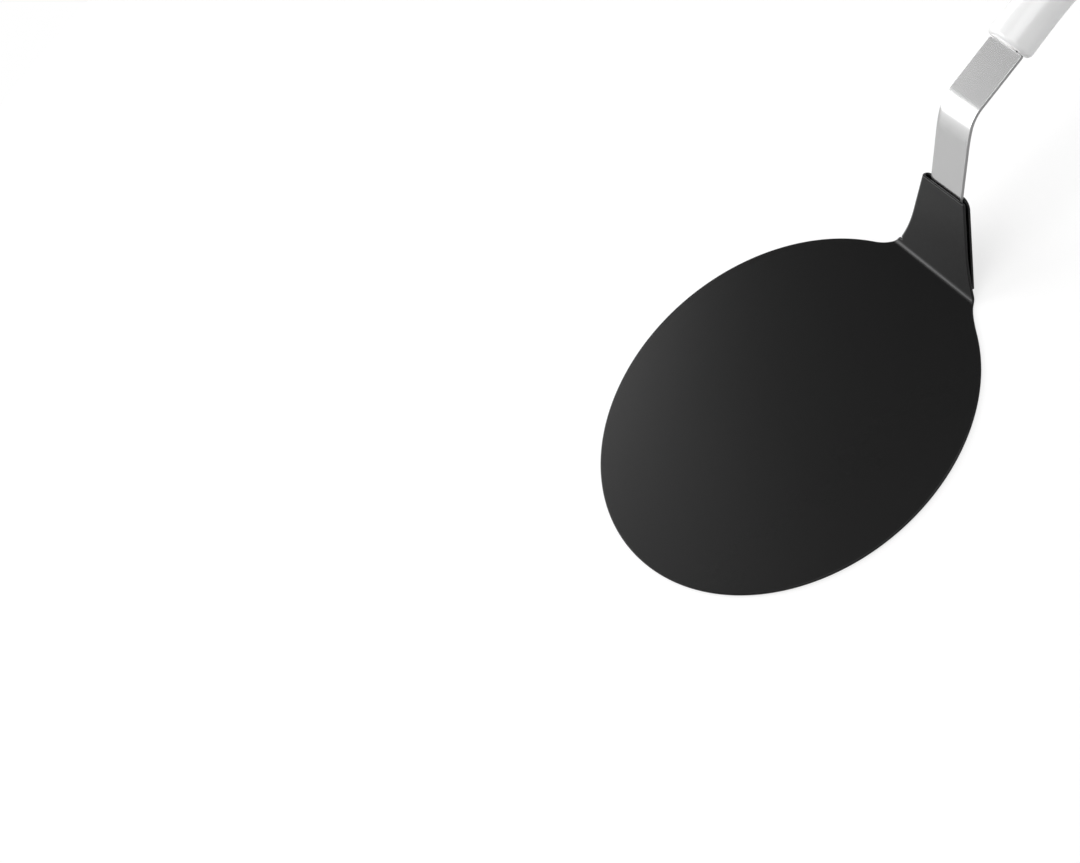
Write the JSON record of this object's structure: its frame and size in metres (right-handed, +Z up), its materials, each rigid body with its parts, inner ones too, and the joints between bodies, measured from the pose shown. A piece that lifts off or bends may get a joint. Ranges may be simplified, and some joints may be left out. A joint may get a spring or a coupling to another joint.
{
  "type": "round spatula",
  "caption": "Round turning spatula: thin coated disc blade creased up to a hemmed neck, cranked flat steel shank, oval moulded handle with an end cap and a hanging slot.",
  "frame": {"origin": "centre of the round blade on its flat underside", "axes": "+X from the tip of the blade to the handle, +Y to the left seen from the blade's tip looking along +X, +Z up from the blade"},
  "size_m": [0.3464, 0.16, 0.0968],
  "materials": {
    "black_coating": "thin satin black non-stick coating on steel sheet",
    "satin_steel": "fine polished stainless steel, slightly satin",
    "white_moulding": "smooth white moulded plastic, satin gloss"
  },
  "bodies": {
    "root": {"blade": "black_coating", "shank": "satin_steel", "neck_rivet_1": "satin_steel", "neck_rivet_2": "satin_steel", "handle_body": "white_moulding", "handle_end_cap": "white_moulding"}
  },
  "joints": []
}
